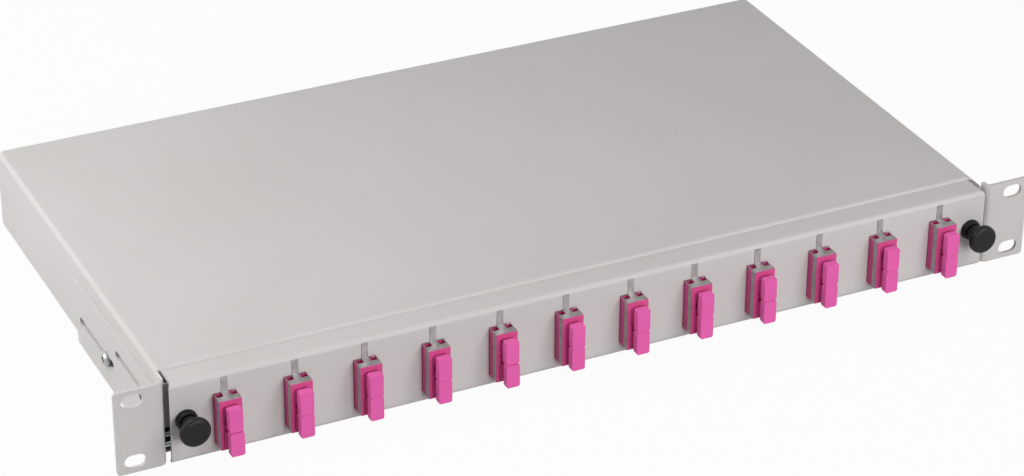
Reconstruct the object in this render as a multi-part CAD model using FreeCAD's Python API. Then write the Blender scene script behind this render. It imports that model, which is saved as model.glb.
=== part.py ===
# Pull-out fibre patch panel, one rack unit high, for a 19-inch rack. All sizes in millimetres.
# X runs across the rack, +Y goes into the rack and +Z is up. The origin is the middle of the
# rack slots, on the rear faces of the two rack ears.
import math
import os

import FreeCAD
import Part

# Rack interface
RACK_WIDTH = 482.6
RACK_HEIGHT = 43.6
RACK_HOLE_INSET = 8.75
RACK_HOLE_RISE = 31.75
RACK_SLOT_LENGTH = 10.4
RACK_SLOT_WIDTH = 6.8

# Rack brackets, bent from sheet
EAR_WIDTH = 24.2
BRACKET_SHEET = 2.0
BRACKET_BEND = 1.5
BRACKET_DEPTH = 117.4
BRACKET_SIDE_HEIGHT = 34.5
BRACKET_CORNER = 1.0
BRACKET_SLOT_LENGTH = 49.0
BRACKET_SLOT_WIDTH = 4.6
BRACKET_SLOT_SIDES = 12
BRACKET_LOW_SLOT_Y = 88.0
BRACKET_LOW_SLOT_HEIGHT = 14.6
BRACKET_HIGH_SLOT_Y = 36.0
BRACKET_HIGH_SLOT_HEIGHT = 24.6
BRACKET_LOW_SCREW_Y = 73.5
BRACKET_HIGH_SCREW_Y = 20.0

# Case: a folded hood and a folded base
CASE_TOP_GAP = 0.8
CASE_DEPTH = 244.0
CASE_SHEET = 1.2
CASE_BEND = 1.3
HOOD_SIDE_Y = 2.9
HOOD_EDGE_Y = 11.0
HOOD_FRONT_LIP = 5.0
HOOD_FOOT_WIDTH = 12.0
HOOD_REAR_LIP = 10.0
HOOD_TOP_LIP = 7.0
STRIKE_Y = 5.4
STRIKE_WIDTH = 15.3
STRIKE_LOW = 15.0
STRIKE_HIGH = 38.0
STRIKE_RELIEF = 1.0
STRIKE_HOLE = 9.0
CASE_SCREW_FRONT_Y = 59.0
CASE_SCREW_REAR_GAP = 59.4
BASE_FRONT_Y = 14.0
BASE_SIDE_GAP = 0.3
ENTRY_HOLE = 20.5
ENTRY_SIDES = 12
ENTRY_INSET = 46.0
ENTRY_PAIR = 32.0
ENTRY_HEIGHT = 21.0

# Drawer front
FACE_PROUD = 1.0
FACE_SHEET = 1.5
FACE_BEND = 1.0
FACE_SIDE_GAP = 1.5
FACE_LOW = 0.1
FACE_TOP_STEP = 0.9
FACE_FOOT_DEPTH = 12.0
DRAWER_SHUT_GAP = 0.4

# Drawer tray and its runners
TRAY_SIDE_GAP = 16.5
TRAY_SHEET = 1.2
TRAY_BEND = 0.8
TRAY_LIFT = 0.4
TRAY_WALL = 24.0
TRAY_REAR_WALL = 18.0
TRAY_REAR_GAP = 14.0
TRAY_TAB = 3.0
RUNNER_SHEET = 1.2
RUNNER_HEIGHT = 8.2
RUNNER_WALL_GAP = 0.1
RUNNER_PLAY = 0.35
RUNNER_LIP_GAP = 2.8
RUNNER_FRONT_Y = 8.4
RUNNER_REAR_GAP = 8.4
RUNNER_TRAY_GAP = 2.4
RIVET_INSET = 32.0

# Fibre adapters
ADAPTER_COUNT = 12
ADAPTER_INSET = 26.4
ADAPTER_WIDTH = 11.0
ADAPTER_TALL = 25.8
ADAPTER_HEIGHT = 19.2
ADAPTER_REACH = 8.0
ADAPTER_LENGTH = 27.0
ADAPTER_RIM = 1.2
ADAPTER_RIM_DEPTH = 1.6
CUTOUT_PLAY = 0.15
PORT_PITCH = 12.1
PORT_DROP = 0.8
PORT_WIDTH = 7.4
PORT_TALL = 9.0
PORT_DEPTH = 10.5
SLEEVE_OUTER = 3.2
SLEEVE_BORE = 2.5
SLEEVE_LENGTH = 11.4
SLEEVE_PLAY = 0.05
SLEEVE_SIDES = 6

# Spring clips that hold the adapters
CLIP_SHEET = 0.4
CLIP_FRONT = 7.6
CLIP_BAND = 3.2
CLIP_TONGUE_WIDTH = 3.2
CLIP_TONGUE_TOP = 40.1
CLIP_WINDOW_WIDTH = 3.4
CLIP_WINDOW_LENGTH = 3.6
CLIP_POCKET = 2.2

# Dust caps
CAP_WIDTH = 6.8
CAP_TALL = 12.0
CAP_REACH = 6.3
CAP_SLAB = 3.8
CAP_CORNER = 0.7
CAP_NECK_WIDTH = 4.4
CAP_NECK_TALL = 8.0
CAP_PLUG_PLAY = 0.2
CAP_PLUG_LENGTH = 6.0
CAP_STANDOFF = {1: 1.0, 5: 0.8, 9: 0.4}

# Push-pull latches
LATCH_INSET = 7.6
LATCH_SIDES = 20
LATCH_HEIGHT = 22.4
LATCH_COLLAR = 10.6
LATCH_COLLAR_DEPTH = 3.0
LATCH_COLLAR_CROWN = 9.0
LATCH_BARREL = 7.6
LATCH_BARREL_PLAY = 0.2
LATCH_LEG_END = 10.4
LATCH_SLIT = 1.0
LATCH_BORE = 4.6
LATCH_STEM = 3.8
LATCH_TIP = 1.0
LATCH_NECK = 7.4
LATCH_HEAD = 14.8
LATCH_HEAD_DEPTH = 4.6
LATCH_HEAD_EDGE = 1.3
LATCH_REACH = 14.0
LATCH_SEAT_GAP = 0.3

# Splice cassette and fibre guides on the tray floor
CASSETTE_WIDTH = 170.0
CASSETTE_DEPTH = 110.0
CASSETTE_REAR_GAP = 40.4
CASSETTE_WALL = 1.6
CASSETTE_FLOOR = 1.6
CASSETTE_TALL = 11.0
CASSETTE_CORNER = 24.0
CASSETTE_CORNER_FLATS = 6
CASSETTE_GATE = 18.0
DRUM_INSET = 32.0
DRUM_SIDES = 20
DRUM_OUTER = 54.0
DRUM_WALL = 1.6
DRUM_TALL = 7.0
HOLDER_LENGTH = 44.0
HOLDER_WIDTH = 26.0
HOLDER_TALL = 6.0
HOLDER_SLOTS = 6
HOLDER_SLOT_WIDTH = 2.4
HOLDER_SLOT_DEPTH = 4.2
LID_SHEET = 1.2
LID_LIP = 3.0
LID_PLAY = 0.3
STUD_INSET = 12.0
STUD_HEAD = 9.0
STUD_HEAD_TALL = 2.4
STUD_SHANK = 4.0
STUD_PLAY = 0.2
GUIDE_INSET = 35.6
GUIDE_FRONT_Y = 62.0
GUIDE_REAR_GAP = 27.4
GUIDE_WIDTH = 14.0
GUIDE_DEPTH = 7.0
GUIDE_TALL = 20.0
GUIDE_WALL = 2.0
GUIDE_MOUTH = 3.0

# Small fasteners and rear plugs
SMALL_SIDES = 8
BEND_FLATS = 6
SCREW_HEAD = 7.6
SCREW_HEAD_TALL = 2.2
SCREW_CROWN = 5.4
SCREW_SHANK = 3.8
SCREW_PLAY = 0.2
SCREW_LENGTH = 6.0
FLAT_HEAD = 6.6
CLINCH_NUT = 7.4
CLINCH_NUT_TALL = 2.4
RIVET_HEAD = 3.6
RIVET_HEAD_TALL = 0.8
RIVET_CROWN = 2.2
RIVET_SHANK = 2.4
RIVET_PLAY = 0.1
PLUG_FLANGE = 24.0
PLUG_FLANGE_DEPTH = 2.0
PLUG_CROWN = 21.6
PLUG_LENGTH = 6.0
PLUG_PLAY = 0.25

# Places that follow from the sizes above
BASE_Z = -RACK_HEIGHT / 2
RACK_HOLE_SPAN = RACK_WIDTH - 2 * RACK_HOLE_INSET
FACE_Y = -BRACKET_SHEET - FACE_PROUD
FACE_BACK_Y = FACE_Y + FACE_SHEET
CASE_HEIGHT = RACK_HEIGHT - CASE_TOP_GAP
CASE_HALF = RACK_WIDTH / 2 - EAR_WIDTH
CASE_INSIDE = CASE_HALF - CASE_SHEET
CASE_TOP = BASE_Z + CASE_HEIGHT
CASE_ROUND = CASE_BEND + CASE_SHEET
FLOOR_TOP = BASE_Z + 2 * CASE_SHEET
FACE_TOP = CASE_TOP - FACE_TOP_STEP
FACE_HALF = CASE_HALF - FACE_SIDE_GAP
TRAY_HALF = CASE_HALF - TRAY_SIDE_GAP
TRAY_REAR_Y = CASE_DEPTH - TRAY_REAR_GAP
RUNNER_REAR_Y = CASE_DEPTH - RUNNER_REAR_GAP
RUNNER_INNER_REAR_Y = TRAY_REAR_Y - RUNNER_TRAY_GAP
TRAY_BOTTOM = FLOOR_TOP + TRAY_LIFT
TRAY_FLOOR = TRAY_BOTTOM + TRAY_SHEET
ADAPTER_Z = BASE_Z + ADAPTER_HEIGHT
PORTS_Z = ADAPTER_Z - PORT_DROP
ADAPTER_FRONT_Y = FACE_Y - ADAPTER_REACH
ADAPTER_REAR_Y = ADAPTER_FRONT_Y + ADAPTER_LENGTH
ADAPTER_MIDDLE_Y = (ADAPTER_FRONT_Y + ADAPTER_REAR_Y) / 2
FIRST_ADAPTER_X = FACE_HALF - ADAPTER_INSET
LATCH_X = FACE_HALF - LATCH_INSET
LATCH_Z = BASE_Z + LATCH_HEIGHT
CASSETTE_Y = TRAY_REAR_Y - CASSETTE_REAR_GAP - CASSETTE_DEPTH / 2
CASSETTE_BOTTOM = TRAY_FLOOR
CASSETTE_TOP = CASSETTE_BOTTOM + CASSETTE_TALL
STUD_X = CASSETTE_WIDTH / 2 - STUD_INSET
HUGE = 2 * RACK_WIDTH
SAME_POINT = 1e-6
OVERCUT = 1.0
SIDES = {"left": -1, "right": 1}


def vec(x, y, z):
    return FreeCAD.Vector(x, y, z)


def block(x_pair, y_pair, z_pair):
    """Box between two values along each axis, given in either order."""
    low = vec(min(x_pair), min(y_pair), min(z_pair))
    high = vec(max(x_pair), max(y_pair), max(z_pair))
    size = high - low
    return Part.makeBox(size.x, size.y, size.z, low)


def rod(diameter, start, end):
    """Round bar from one point to another."""
    return Part.makeCylinder(diameter / 2, (end - start).Length, start, end - start)


def ring(middle, way, diameter, sides):
    """Corners of a flat polygon round an axis along X, Y or Z; they lie on the diameter."""
    across = way.cross(vec(way.y, way.z, way.x))
    upward = way.cross(across)
    turns = [2 * math.pi * index / sides for index in range(sides)]
    return [middle + (across * math.cos(turn) + upward * math.sin(turn)) * (diameter / 2) for turn in turns]


def flat_face(corners):
    return Part.Face(Part.makePolygon(corners + corners[:1]))


def turned(stations, at, way, sides):
    """Small turned piece with flat sides, through (distance along the way, diameter) stations."""
    lengths = []
    for (start, wide), (end, narrow) in zip(stations, stations[1:]):
        if abs(end - start) > SAME_POINT:
            low = ring(at + way * start, way, wide, sides)
            high = ring(at + way * end, way, narrow, sides)
            faces = [flat_face([low[index - 1], low[index], high[index], high[index - 1]])
                     for index in range(sides)]
            lengths.append(Part.Solid(Part.Shell(faces + [flat_face(low), flat_face(high)])))
    for length in lengths:
        if length.Volume < 0:
            length.reverse()
    return lengths[0].multiFuse(lengths[1:]).removeSplitter() if len(lengths) > 1 else lengths[0]


def flat_bar(diameter, start, end, sides):
    """Straight flat-sided bar, or the cutter for the small hole that such a bar goes through."""
    way = (end - start).normalize()
    return turned([(0, diameter), ((end - start).Length, diameter)], start, way, sides)


def across_x(x):
    """Section plane for sheets that run along X: (depth, height) pairs."""
    return lambda depth, height: vec(x, depth, height)


def along_y(y):
    """Section plane for sheets that run along Y: (across, height) pairs."""
    return lambda across, height: vec(across, y, height)


def up_z(z):
    """Section plane for sheets that stand up along Z: (across, depth) pairs."""
    return lambda across, depth: vec(across, depth, z)


def bent_line(points, radii):
    """Points of a line whose inner corners are rounded to their own radius, in a few flats."""
    stops = [points[0]]
    for before, corner, after, radius in zip(points, points[1:], points[2:], radii):
        into = (corner - before).normalize()
        out = (after - corner).normalize()
        half_turn = into.getAngle(out) / 2
        centre = corner + (out - into).normalize() * (radius / math.cos(half_turn))
        for step in range(BEND_FLATS + 1):
            turn = half_turn * (2 * step / BEND_FLATS - 1)
            middle_way = (centre - corner).normalize() * -math.cos(turn)
            along_way = (into + out).normalize() * math.sin(turn)
            stops.append(centre + (middle_way + along_way) * radius)
    return stops + [points[-1]]


def folded_sheet(path, sheet, bend, place, run):
    """Sheet of one thickness, folded along a path; the sheet lies to the left of the path.

    bend is the inside radius of every fold, and run is the way the section is drawn out.
    """
    outer = [vec(across, along, 0) for across, along in path]
    ways = [(after - before).normalize() for before, after in zip(outer, outer[1:])]
    lefts = [vec(-way.y, way.x, 0) for way in ways]
    inner = [outer[0] + lefts[0] * sheet]
    outer_radii = []
    inner_radii = []
    for corner, way_in, left_in, left_out in zip(outer[1:], ways, lefts, lefts[1:]):
        inner.append(corner + (left_in + left_out) * (sheet / (1 + left_in.dot(left_out))))
        turns_left = left_out.dot(way_in) < 0
        outer_radii.append(bend + sheet if turns_left else bend)
        inner_radii.append(bend if turns_left else bend + sheet)
    inner.append(outer[-1] + lefts[-1] * sheet)
    section = bent_line(outer, outer_radii) + bent_line(inner, inner_radii)[::-1]
    corners = [place(point.x, point.y) for point in section]
    befores = corners[-1:] + corners
    apart = [here for here, before in zip(corners, befores) if not here.isEqual(before, SAME_POINT)]
    return flat_face(apart).extrude(run)


def slot(middle, length, width, along, through, sides=None):
    """Cutter for a long hole, its ends round or with flat sides; through is half its depth, a vector."""
    reach = along * ((length - width) / 2)
    ends = []
    for end in (-1, 1):
        start = middle + reach * end - through
        stop = start + through * 2
        ends.append(flat_bar(width, start, stop, sides) if sides else rod(width, start, stop))
    across = through.cross(along).normalize() * (width / 2)
    corners = [middle - through + reach * end + across * edge for end, edge in
               ((-1, -1), (1, -1), (1, 1), (-1, 1))]
    return flat_face(corners).extrude(through * 2).fuse(ends).removeSplitter()


def edges_along(shape, axis, test):
    """Straight edges of a shape that run along an axis and whose middle passes the test."""
    found = []
    for edge in shape.Edges:
        way = edge.Vertexes[-1].Point - edge.Vertexes[0].Point
        if way.Length > 0 and way.cross(axis).Length < SAME_POINT and test(edge.CenterOfMass):
            found.append(edge)
    return found


def mirror(shape):
    """The same piece for the other side of the panel."""
    return shape.mirror(vec(0, 0, 0), vec(1, 0, 0))


def both_sides(shapes):
    """Left and right copies of pieces that are made on the right."""
    return Part.makeCompound(shapes + [mirror(shape) for shape in shapes])


def adapter_places():
    """Middle of each adapter across the panel, from left to right."""
    pitch = 2 * FIRST_ADAPTER_X / (ADAPTER_COUNT - 1)
    return [pitch * index - FIRST_ADAPTER_X for index in range(ADAPTER_COUNT)]


def entry_places():
    """Middle of each cable entry across the rear wall."""
    pair_x = CASE_HALF - ENTRY_INSET
    return [side * (pair_x + step * ENTRY_PAIR / 2) for side in (-1, 1) for step in (-1, 1)]


def bracket_screw_places():
    """Depth and height of the two screws that hold a bracket."""
    return ((BRACKET_LOW_SCREW_Y, BASE_Z + BRACKET_LOW_SLOT_HEIGHT),
            (BRACKET_HIGH_SCREW_Y, BASE_Z + BRACKET_HIGH_SLOT_HEIGHT))


def case_screw_places():
    """Where the screws that join hood and base start, under the right foot."""
    foot_x = CASE_HALF - HOOD_FOOT_WIDTH / 2
    return [vec(foot_x, depth, BASE_Z) for depth in (CASE_SCREW_FRONT_Y, CASE_DEPTH - CASE_SCREW_REAR_GAP)]


def make_hood():
    """Top, sides, inward feet, lips and the latch strikes, folded from one sheet."""
    foot = CASE_HALF - HOOD_FOOT_WIDTH
    path = [(foot, BASE_Z), (CASE_HALF, BASE_Z), (CASE_HALF, CASE_TOP),
            (-CASE_HALF, CASE_TOP), (-CASE_HALF, BASE_Z), (-foot, BASE_Z)]
    front = STRIKE_Y + CASE_ROUND
    back = CASE_DEPTH - CASE_ROUND
    hood = folded_sheet(path, CASE_SHEET, CASE_BEND, along_y(HOOD_SIDE_Y), vec(0, back - HOOD_SIDE_Y, 0))

    # The top stops behind the drawer front; below their upper corners the sides stop at the strikes
    flat = CASE_HALF - CASE_ROUND
    bend_low = CASE_TOP - CASE_ROUND
    lip_rear = HOOD_EDGE_Y + CASE_ROUND
    before = HOOD_SIDE_Y - OVERCUT
    corner_low = BASE_Z + STRIKE_HIGH + STRIKE_RELIEF
    hood = hood.cut([block((-CASE_INSIDE, CASE_INSIDE), (before, HOOD_EDGE_Y), (bend_low, HUGE)),
                     block((-flat, flat), (before, lip_rear), (bend_low, HUGE)),
                     block((-HUGE, HUGE), (before, front), (-HUGE, corner_low))])

    # Front and rear lips of the top, bent down
    front_path = [(lip_rear, CASE_TOP), (HOOD_EDGE_Y, CASE_TOP), (HOOD_EDGE_Y, CASE_TOP - HOOD_FRONT_LIP)]
    front_lip = folded_sheet(front_path, CASE_SHEET, CASE_BEND, across_x(-flat), vec(2 * flat, 0, 0))
    lip_path = [(CASE_DEPTH, CASE_TOP - HOOD_TOP_LIP), (CASE_DEPTH, CASE_TOP), (back, CASE_TOP)]
    top_lip = folded_sheet(lip_path, CASE_SHEET, CASE_BEND, across_x(-flat), vec(2 * flat, 0, 0))

    # Rear lips of the sides, and the strikes for the latches at the front
    side_low = BASE_Z + CASE_ROUND
    side_high = CASE_TOP - HOOD_TOP_LIP - CASE_SHEET
    lip = [(CASE_HALF, back), (CASE_HALF, CASE_DEPTH), (CASE_HALF - HOOD_REAR_LIP, CASE_DEPTH)]
    side_lip = folded_sheet(lip, CASE_SHEET, CASE_BEND, up_z(side_low), vec(0, 0, side_high - side_low))
    strike_path = [(CASE_HALF - STRIKE_WIDTH, STRIKE_Y), (CASE_HALF, STRIKE_Y), (CASE_HALF, front)]
    strike = folded_sheet(strike_path, CASE_SHEET, CASE_BEND, up_z(BASE_Z + STRIKE_LOW),
                          vec(0, 0, STRIKE_HIGH - STRIKE_LOW))
    latch = vec(LATCH_X, STRIKE_Y, LATCH_Z)
    strike = strike.cut(flat_bar(STRIKE_HOLE, latch, latch + vec(0, CASE_SHEET, 0), LATCH_SIDES))
    hood = hood.fuse([front_lip, top_lip, side_lip, mirror(side_lip), strike, mirror(strike)])

    # Holes for the bracket screws, and for the screws that hold the base
    holes = []
    for depth, height in bracket_screw_places():
        at = vec(CASE_HALF, depth, height)
        holes.append(flat_bar(SCREW_SHANK + SCREW_PLAY, at, at - vec(CASE_SHEET, 0, 0), SMALL_SIDES))
    holes += [make_flat_screw(at, SCREW_PLAY) for at in case_screw_places()]
    return hood.cut(holes + [mirror(hole) for hole in holes]).removeSplitter()


def make_base():
    """Floor and rear wall, folded from one sheet that stands inside the hood."""
    half = CASE_INSIDE - CASE_BEND - BASE_SIDE_GAP
    wall_y = CASE_DEPTH - CASE_SHEET
    wall_top = CASE_TOP - CASE_ROUND - BASE_SIDE_GAP
    floor_z = BASE_Z + CASE_SHEET
    path = [(BASE_FRONT_Y, floor_z), (wall_y, floor_z), (wall_y, wall_top)]
    base = folded_sheet(path, CASE_SHEET, CASE_BEND, across_x(-half), vec(2 * half, 0, 0))
    holes = []
    for across in entry_places():
        at = vec(across, wall_y, BASE_Z + ENTRY_HEIGHT)
        holes.append(flat_bar(ENTRY_HOLE, at, at - vec(0, CASE_SHEET, 0), ENTRY_SIDES))
    for at in case_screw_places():
        hole = flat_bar(SCREW_SHANK + SCREW_PLAY, at, at + vec(0, 0, 2 * CASE_SHEET), SMALL_SIDES)
        holes += [hole, mirror(hole)]
    return base.cut(holes)


def make_bracket():
    """Right rack bracket: a slotted ear and a long side plate, bent from one sheet."""
    ear_end = RACK_WIDTH / 2
    path = [(CASE_HALF, BRACKET_DEPTH), (CASE_HALF, -BRACKET_SHEET), (ear_end, -BRACKET_SHEET)]
    bracket = folded_sheet(path, BRACKET_SHEET, BRACKET_BEND, up_z(BASE_Z), vec(0, 0, RACK_HEIGHT))
    side_top = BASE_Z + BRACKET_SIDE_HEIGHT
    plate_front = BRACKET_BEND + BRACKET_SHEET
    above = block((0, CASE_HALF + BRACKET_SHEET), (plate_front, HUGE), (side_top, HUGE))
    bracket = bracket.cut(above)
    ear_corners = edges_along(bracket, vec(0, 1, 0), lambda at: abs(at.x - ear_end) < SAME_POINT)
    plate_corners = edges_along(bracket, vec(1, 0, 0), lambda at: abs(at.y - BRACKET_DEPTH) < SAME_POINT)
    bracket = bracket.makeChamfer(BRACKET_CORNER, ear_corners + plate_corners)
    cutters = []
    for side in (-1, 1):
        middle = vec(RACK_HOLE_SPAN / 2, 0, side * RACK_HOLE_RISE / 2)
        cutters.append(slot(middle, RACK_SLOT_LENGTH, RACK_SLOT_WIDTH, vec(1, 0, 0),
                            vec(0, 2 * BRACKET_SHEET, 0)))
    for depth, height in ((BRACKET_LOW_SLOT_Y, BRACKET_LOW_SLOT_HEIGHT),
                          (BRACKET_HIGH_SLOT_Y, BRACKET_HIGH_SLOT_HEIGHT)):
        middle = vec(CASE_HALF, depth, BASE_Z + height)
        cutters.append(slot(middle, BRACKET_SLOT_LENGTH, BRACKET_SLOT_WIDTH, vec(0, 1, 0),
                            vec(2 * BRACKET_SHEET, 0, 0), BRACKET_SLOT_SIDES))
    return bracket.cut(cutters)


def make_screw(at, way, length):
    """Pan-head screw: at is the seat of the head, way points down the shank."""
    stations = [(-SCREW_HEAD_TALL, SCREW_CROWN), (-SCREW_HEAD_TALL / 2, SCREW_HEAD), (0, SCREW_HEAD),
                (0, SCREW_SHANK), (length, SCREW_SHANK)]
    return turned(stations, at, way, SMALL_SIDES)


def make_flat_screw(at, play):
    """Countersunk screw up through two sheets of the case; with play, the cutter for its hole."""
    shank = SCREW_SHANK + play
    stations = [(0, FLAT_HEAD + play), (CASE_SHEET, shank), (2 * CASE_SHEET, shank)]
    return turned(stations, at, vec(0, 0, 1), SMALL_SIDES)


def make_bracket_screws():
    """Pan-head screws through the bracket slots into the case sides."""
    screws = []
    for depth, height in bracket_screw_places():
        at = vec(CASE_HALF + BRACKET_SHEET, depth, height)
        screws.append(make_screw(at, vec(-1, 0, 0), SCREW_LENGTH))
    return both_sides(screws)


def make_bracket_nuts():
    """Clinch nuts pressed to the inside of the case behind the bracket screws."""
    nuts = []
    for depth, height in bracket_screw_places():
        at = vec(CASE_INSIDE, depth, height)
        end = at - vec(CLINCH_NUT_TALL, 0, 0)
        bore = flat_bar(SCREW_SHANK + SCREW_PLAY, at, end, SMALL_SIDES)
        nuts.append(flat_bar(CLINCH_NUT, at, end, SMALL_SIDES).cut(bore))
    return both_sides(nuts)


def make_case_screws():
    """Countersunk screws under the feet, which hold the hood to the base."""
    return both_sides([make_flat_screw(at, 0) for at in case_screw_places()])


def make_entry_plugs():
    """Blanking plugs pushed into the cable entries of the rear wall."""
    barrel = ENTRY_HOLE - 2 * PLUG_PLAY
    stations = [(0, PLUG_CROWN), (PLUG_FLANGE_DEPTH / 2, PLUG_FLANGE), (PLUG_FLANGE_DEPTH, PLUG_FLANGE),
                (PLUG_FLANGE_DEPTH, barrel), (PLUG_FLANGE_DEPTH + PLUG_LENGTH, barrel - 2 * PLUG_PLAY)]
    plugs = []
    for across in entry_places():
        at = vec(across, CASE_DEPTH - CASE_SHEET + PLUG_FLANGE_DEPTH, BASE_Z + ENTRY_HEIGHT)
        plugs.append(turned(stations, at, vec(0, -1, 0), ENTRY_SIDES))
    return Part.makeCompound(plugs)


def make_outer_runner():
    """Right runner in the case: a steel channel that opens towards the tray."""
    wall = CASE_INSIDE - RUNNER_WALL_GAP
    lip = TRAY_HALF + RUNNER_SHEET + RUNNER_LIP_GAP
    high = FLOOR_TOP + RUNNER_HEIGHT
    depth = (RUNNER_FRONT_Y, RUNNER_REAR_Y)
    inside = block((lip, wall - RUNNER_SHEET), depth, (FLOOR_TOP + RUNNER_SHEET, high - RUNNER_SHEET))
    return block((lip, wall), depth, (FLOOR_TOP, high)).cut(inside)


def runner_rivet_places():
    """Depth and height of the rivets that hold a runner to the tray wall."""
    height = FLOOR_TOP + RUNNER_HEIGHT / 2
    return [(depth, height) for depth in (RUNNER_FRONT_Y + RIVET_INSET, RUNNER_INNER_REAR_Y - RIVET_INSET)]


def make_inner_runner():
    """Right runner on the tray: a smaller channel that rides inside the outer one."""
    tip = CASE_INSIDE - RUNNER_WALL_GAP - RUNNER_SHEET - RUNNER_PLAY
    low = FLOOR_TOP + RUNNER_SHEET + RUNNER_PLAY
    high = FLOOR_TOP + RUNNER_HEIGHT - RUNNER_SHEET - RUNNER_PLAY
    depth = (RUNNER_FRONT_Y, RUNNER_INNER_REAR_Y)
    cutters = [block((TRAY_HALF + RUNNER_SHEET, tip), depth, (low + RUNNER_SHEET, high - RUNNER_SHEET))]
    for along, height in runner_rivet_places():
        at = vec(TRAY_HALF, along, height)
        cutters.append(flat_bar(RIVET_SHANK + RIVET_PLAY, at, at + vec(RUNNER_SHEET, 0, 0), SMALL_SIDES))
    return block((TRAY_HALF, tip), depth, (low, high)).cut(cutters)


def make_runner_rivets():
    """Domed rivets through the tray walls and the inner runners."""
    stations = [(-RIVET_HEAD_TALL, RIVET_CROWN), (0, RIVET_HEAD), (0, RIVET_SHANK),
                (TRAY_SHEET + RUNNER_SHEET, RIVET_SHANK)]
    rivets = []
    for depth, height in runner_rivet_places():
        at = vec(TRAY_HALF - TRAY_SHEET, depth, height)
        rivets.append(turned(stations, at, vec(1, 0, 0), SMALL_SIDES))
    return both_sides(rivets)


def make_tray():
    """Drawer tray: floor, side walls, rear wall and two narrow front tabs."""
    top = TRAY_BOTTOM + TRAY_WALL
    path = [(-TRAY_HALF, top), (-TRAY_HALF, TRAY_BOTTOM), (TRAY_HALF, TRAY_BOTTOM), (TRAY_HALF, top)]
    tab_bend = TRAY_BEND + TRAY_SHEET
    rear_bend = TRAY_REAR_Y - tab_bend
    tray = folded_sheet(path, TRAY_SHEET, TRAY_BEND, along_y(FACE_BACK_Y), vec(0, rear_bend - FACE_BACK_Y, 0))
    inside = TRAY_HALF - TRAY_SHEET
    rear_half = inside - TRAY_BEND
    rear_path = [(rear_bend, TRAY_BOTTOM), (TRAY_REAR_Y, TRAY_BOTTOM),
                 (TRAY_REAR_Y, TRAY_BOTTOM + TRAY_REAR_WALL)]
    rear = folded_sheet(rear_path, TRAY_SHEET, TRAY_BEND, across_x(-rear_half), vec(2 * rear_half, 0, 0))
    tab = block((inside - TRAY_TAB, inside), (FACE_BACK_Y, FACE_BACK_Y + TRAY_SHEET),
                (TRAY_FLOOR + TRAY_BEND, top))
    holes = []
    for depth, height in runner_rivet_places():
        at = vec(TRAY_HALF, depth, height)
        holes.append(flat_bar(RIVET_SHANK + RIVET_PLAY, at, at - vec(TRAY_SHEET, 0, 0), SMALL_SIDES))
    stud = vec(STUD_X, CASSETTE_Y, TRAY_BOTTOM)
    holes.append(flat_bar(STUD_SHANK + STUD_PLAY, stud, stud + vec(0, 0, TRAY_SHEET), SMALL_SIDES))
    tray = tray.fuse([rear, tab, mirror(tab)])
    return tray.cut(holes + [mirror(hole) for hole in holes]).removeSplitter()


def make_front():
    """Drawer front: face, top flange and foot flange, folded from one sheet."""
    low = BASE_Z + FACE_LOW
    top_rear = HOOD_EDGE_Y - DRAWER_SHUT_GAP
    path = [(top_rear, FACE_TOP), (FACE_Y, FACE_TOP), (FACE_Y, low), (FACE_Y + FACE_FOOT_DEPTH, low)]
    front = folded_sheet(path, FACE_SHEET, FACE_BEND, across_x(-FACE_HALF), vec(2 * FACE_HALF, 0, 0))

    # The foot flange stops short of the hood's feet
    foot_half = CASE_HALF - HOOD_FOOT_WIDTH - DRAWER_SHUT_GAP
    for side in (-1, 1):
        front = front.cut(block((side * foot_half, side * HUGE), (FACE_BACK_Y + FACE_BEND, HUGE),
                                (low, low + FACE_SHEET)))

    cutters = []
    for across in adapter_places():
        wide = ADAPTER_WIDTH / 2 + CUTOUT_PLAY
        tall = ADAPTER_TALL / 2 + CUTOUT_PLAY
        cutters.append(block((across - wide, across + wide), (FACE_Y, FACE_BACK_Y),
                             (ADAPTER_Z - tall, ADAPTER_Z + tall)))
    for side in (-1, 1):
        at = vec(side * LATCH_X, FACE_Y, LATCH_Z)
        hole = LATCH_BARREL + 2 * LATCH_BARREL_PLAY
        cutters.append(flat_bar(hole, at, at + vec(0, FACE_SHEET, 0), LATCH_SIDES))
    return front.cut(cutters).removeSplitter()


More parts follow.
